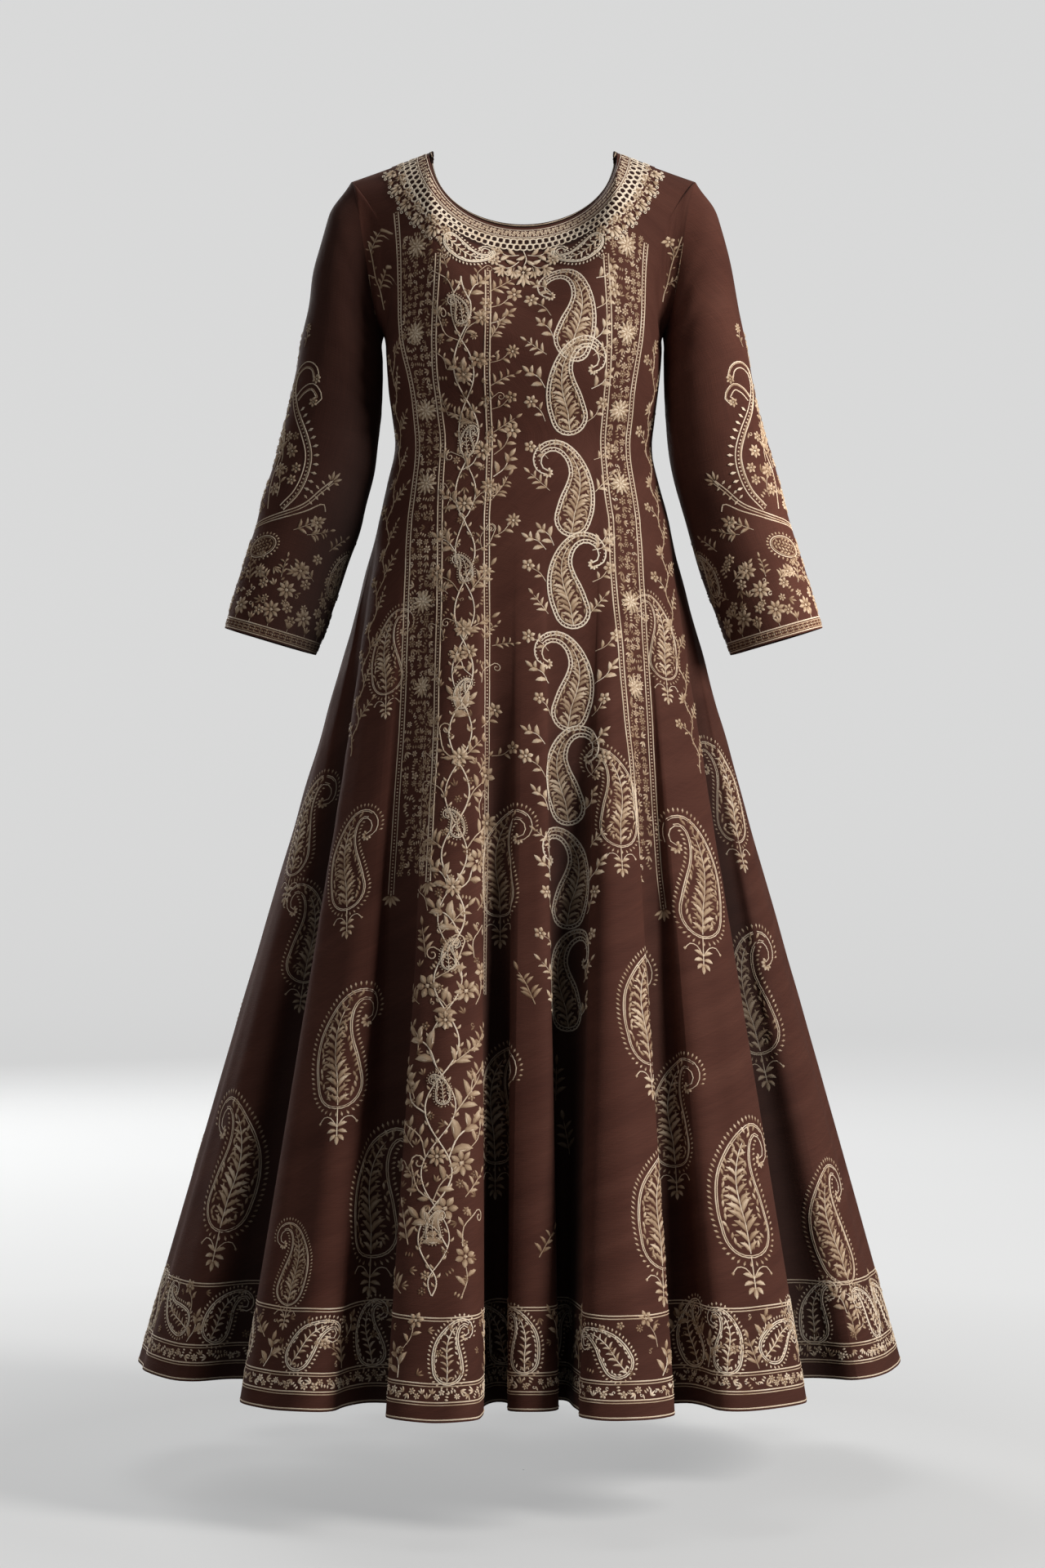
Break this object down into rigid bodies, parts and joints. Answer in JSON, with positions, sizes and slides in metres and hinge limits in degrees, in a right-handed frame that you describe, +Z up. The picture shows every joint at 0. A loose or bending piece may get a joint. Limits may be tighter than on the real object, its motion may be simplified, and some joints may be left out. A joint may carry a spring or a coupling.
{
  "type": "anarkali kurti",
  "caption": "Long flared dress in dark brown cloth with beige paisley embroidery, a lace neckline, long narrow sleeves and a bordered hem, in its worn, hollow form.",
  "frame": {"origin": "the middle of the neck opening, level with the neck points where the shoulder seams start", "axes": "+Z up, -Y to the front of the dress, +X to the wearer's left"},
  "size_m": [0.8189, 0.8048, 1.3018],
  "materials": {
    "embroidered_cloth": "dark brown crepe with a soft low sheen, worked in beige thread",
    "thread_lace": "beige twisted thread, satin",
    "neck_piping": "near-black brown bias strip, matt"
  },
  "bodies": {
    "root": {"front_left": "embroidered_cloth", "front_right": "embroidered_cloth", "front_side_left": "embroidered_cloth", "front_side_right": "embroidered_cloth", "back_left": "embroidered_cloth", "back_right": "embroidered_cloth", "back_side_left": "embroidered_cloth", "back_side_right": "embroidered_cloth", "sleeve_left": "embroidered_cloth", "sleeve_right": "embroidered_cloth", "yoke_lace_front": "thread_lace", "yoke_lace_back": "thread_lace", "neck_binding": "neck_piping"}
  },
  "joints": []
}
